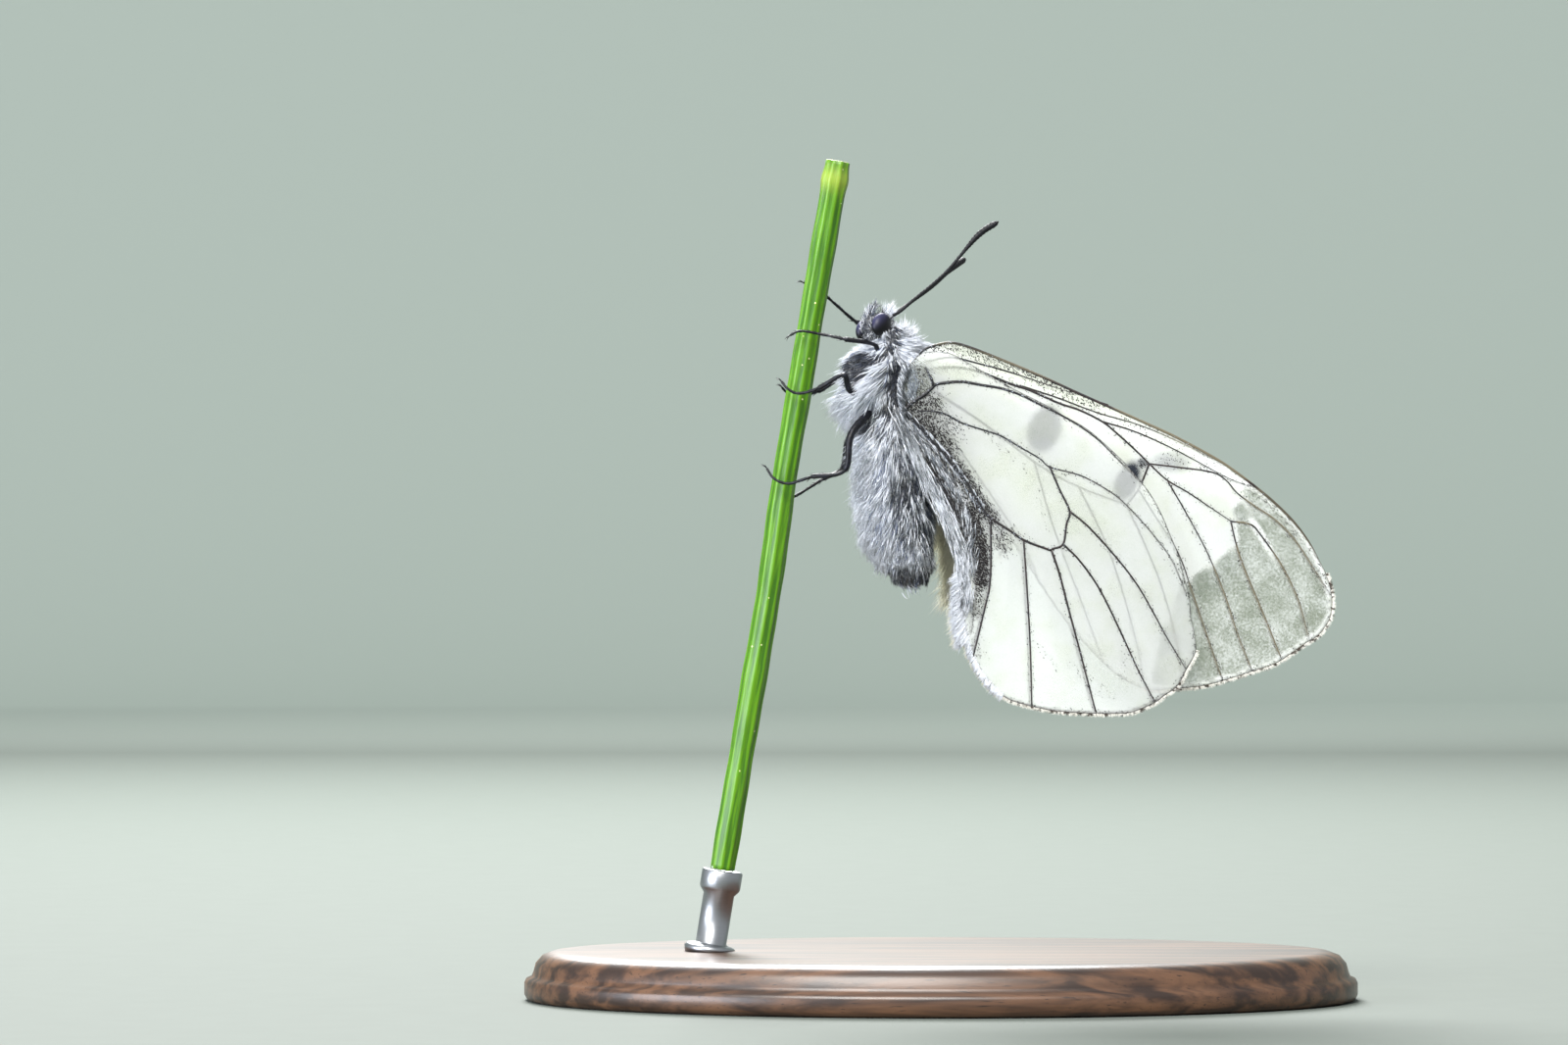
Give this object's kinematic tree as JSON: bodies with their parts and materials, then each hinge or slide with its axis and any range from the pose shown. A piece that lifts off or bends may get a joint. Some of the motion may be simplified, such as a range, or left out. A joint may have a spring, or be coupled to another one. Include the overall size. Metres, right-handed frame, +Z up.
{
  "type": "clouded apollo butterfly model",
  "caption": "Life-size still model of a clouded apollo butterfly, wings closed, gripping a plant stem on a plain oval display stand.",
  "frame": {"origin": "middle of the underside of the oval base", "axes": "+Z up, along the butterfly's body towards its head; +X towards its back and wing tips; -Y towards its left side, the side that the reference view shows"},
  "size_m": [0.051, 0.031, 0.0513],
  "materials": {
    "head_coat": "fine cream and dark hair",
    "thorax_coat": "long silky white and slate hair",
    "abdomen_coat": "short white and slate hair",
    "eye": "smooth dark compound eye",
    "palp": "bristly black and white hair",
    "antenna": "black ringed horn",
    "leg": "scaled grey-brown horn",
    "wing": "chalky white scales with dark veins",
    "stem": "ribbed green stem",
    "rod": "brushed steel",
    "base": "dark stained wood, satin"
  },
  "bodies": {
    "root": {"head": "head_coat", "thorax": "thorax_coat", "abdomen": "abdomen_coat", "eye_left": "eye", "eye_right": "eye", "palp_left": "palp", "palp_right": "palp", "antenna_left": "antenna", "antenna_right": "antenna", "leg_fore_left": "leg", "leg_fore_right": "leg", "leg_mid_left": "leg", "leg_mid_right": "leg", "leg_hind_left": "leg", "leg_hind_right": "leg", "forewing_left": "wing", "forewing_right": "wing", "hindwing_left": "wing", "hindwing_right": "wing", "perch_stem": "stem", "stand_rod": "rod", "stand_base": "base"}
  },
  "joints": []
}
